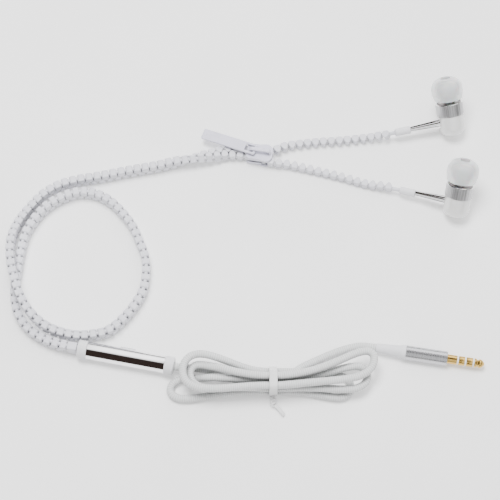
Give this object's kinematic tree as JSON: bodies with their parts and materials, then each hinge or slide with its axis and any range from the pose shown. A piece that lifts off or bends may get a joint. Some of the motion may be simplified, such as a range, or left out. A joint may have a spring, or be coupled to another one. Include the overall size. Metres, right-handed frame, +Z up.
{
  "type": "wired earphones",
  "caption": "In-ear earphones with zipper cords that a slider joins, a splitter tube with microphone and button, and a tied hank of cord ending in a 3.5 mm plug.",
  "frame": {"origin": "middle of the earphones without the lower cord, at the surface they lie on", "axes": "+X from the loop of the chain to the earbuds, +Z up"},
  "size_m": [0.1824, 0.1355, 0.0216],
  "materials": {
    "silicone": "translucent white silicone",
    "mesh": "fine woven mesh",
    "brushed_aluminium": "brushed",
    "pearl_plastic": "pearl gloss",
    "white_plastic": "satin",
    "film": "thin film",
    "copper": "enamelled copper wire",
    "magnet_steel": "nickel plated",
    "board": "solder mask",
    "chrome_tube": "polished",
    "soft_white": "satin",
    "tooth_plastic": "satin",
    "slider_metal": "white enamel",
    "brass_can": "plain",
    "switch_steel": "stamped",
    "cord_jacket": "fine cross ribs",
    "tie_plastic": "satin",
    "brushed_shell": "fine turned",
    "gold_plate": "gold plated"
  },
  "bodies": {
    "set": {"left_nozzle_mesh": "mesh", "left_front_shell": "brushed_aluminium", "left_driver_frame": "white_plastic", "left_diaphragm": "film", "left_voice_coil": "copper", "left_magnet": "magnet_steel", "left_pole_plate": "magnet_steel", "left_yoke": "magnet_steel", "left_terminal_board": "board", "left_rear_shell": "pearl_plastic", "left_stem": "chrome_tube", "left_end_stop": "soft_white", "left_strand_cord": "soft_white", "left_teeth": "tooth_plastic", "right_nozzle_mesh": "mesh", "right_front_shell": "brushed_aluminium", "right_driver_frame": "white_plastic", "right_diaphragm": "film", "right_voice_coil": "copper", "right_magnet": "magnet_steel", "right_pole_plate": "magnet_steel", "right_yoke": "magnet_steel", "right_terminal_board": "board", "right_rear_shell": "pearl_plastic", "right_stem": "chrome_tube", "right_end_stop": "soft_white", "right_strand_cord": "soft_white", "right_teeth": "tooth_plastic", "bottom_stop": "tooth_plastic", "front_collar": "white_plastic", "rear_collar": "white_plastic", "splitter_tube": "chrome_tube", "mic_board": "board", "mic_capsule": "brass_can", "button_switch": "switch_steel", "cord_lead_in": "cord_jacket", "cord_hank": "cord_jacket", "cord_lead_out": "cord_jacket", "twist_tie": "tie_plastic", "plug_strain_relief": "soft_white", "plug_shell": "brushed_shell", "plug_tip": "gold_plate", "plug_ring_1": "gold_plate", "plug_ring_2": "gold_plate", "plug_sleeve": "gold_plate", "plug_insulators": "white_plastic"},
    "left_tip": {"left_ear_tip": "silicone"},
    "right_tip": {"right_ear_tip": "silicone"},
    "slider": {"slider_body": "slider_metal"},
    "tab": {"pull_tab": "slider_metal"},
    "button": {"call_button": "white_plastic"}
  },
  "joints": [
    {"name": "slider_travel", "type": "slide", "parent": "set", "child": "slider", "axis": [-0.9877, 0.1564, 0], "range_m": [0, 0.006], "deforming": ["left_teeth", "right_teeth", "left_strand_cord", "right_strand_cord"]},
    {"name": "tab_hinge", "type": "hinge", "parent": "slider", "child": "tab", "pos_m": [0.0046, 0.03192, 0.00645], "axis": [0.3746, 0.9272, 0], "range_deg": [0, 140]},
    {"name": "left_tip_pull", "type": "slide", "parent": "set", "child": "left_tip", "axis": [-0.1798, 0.7211, 0.6691], "range_m": [0, 0.01]},
    {"name": "right_tip_pull", "type": "slide", "parent": "set", "child": "right_tip", "axis": [0.1206, 0.6841, 0.7193], "range_m": [0, 0.01]},
    {"name": "button_press", "type": "slide", "parent": "set", "child": "button", "axis": [-0.1891, -0.982, 0], "range_m": [0, 0.00035], "stiffness_N_per_m": 20}
  ]
}
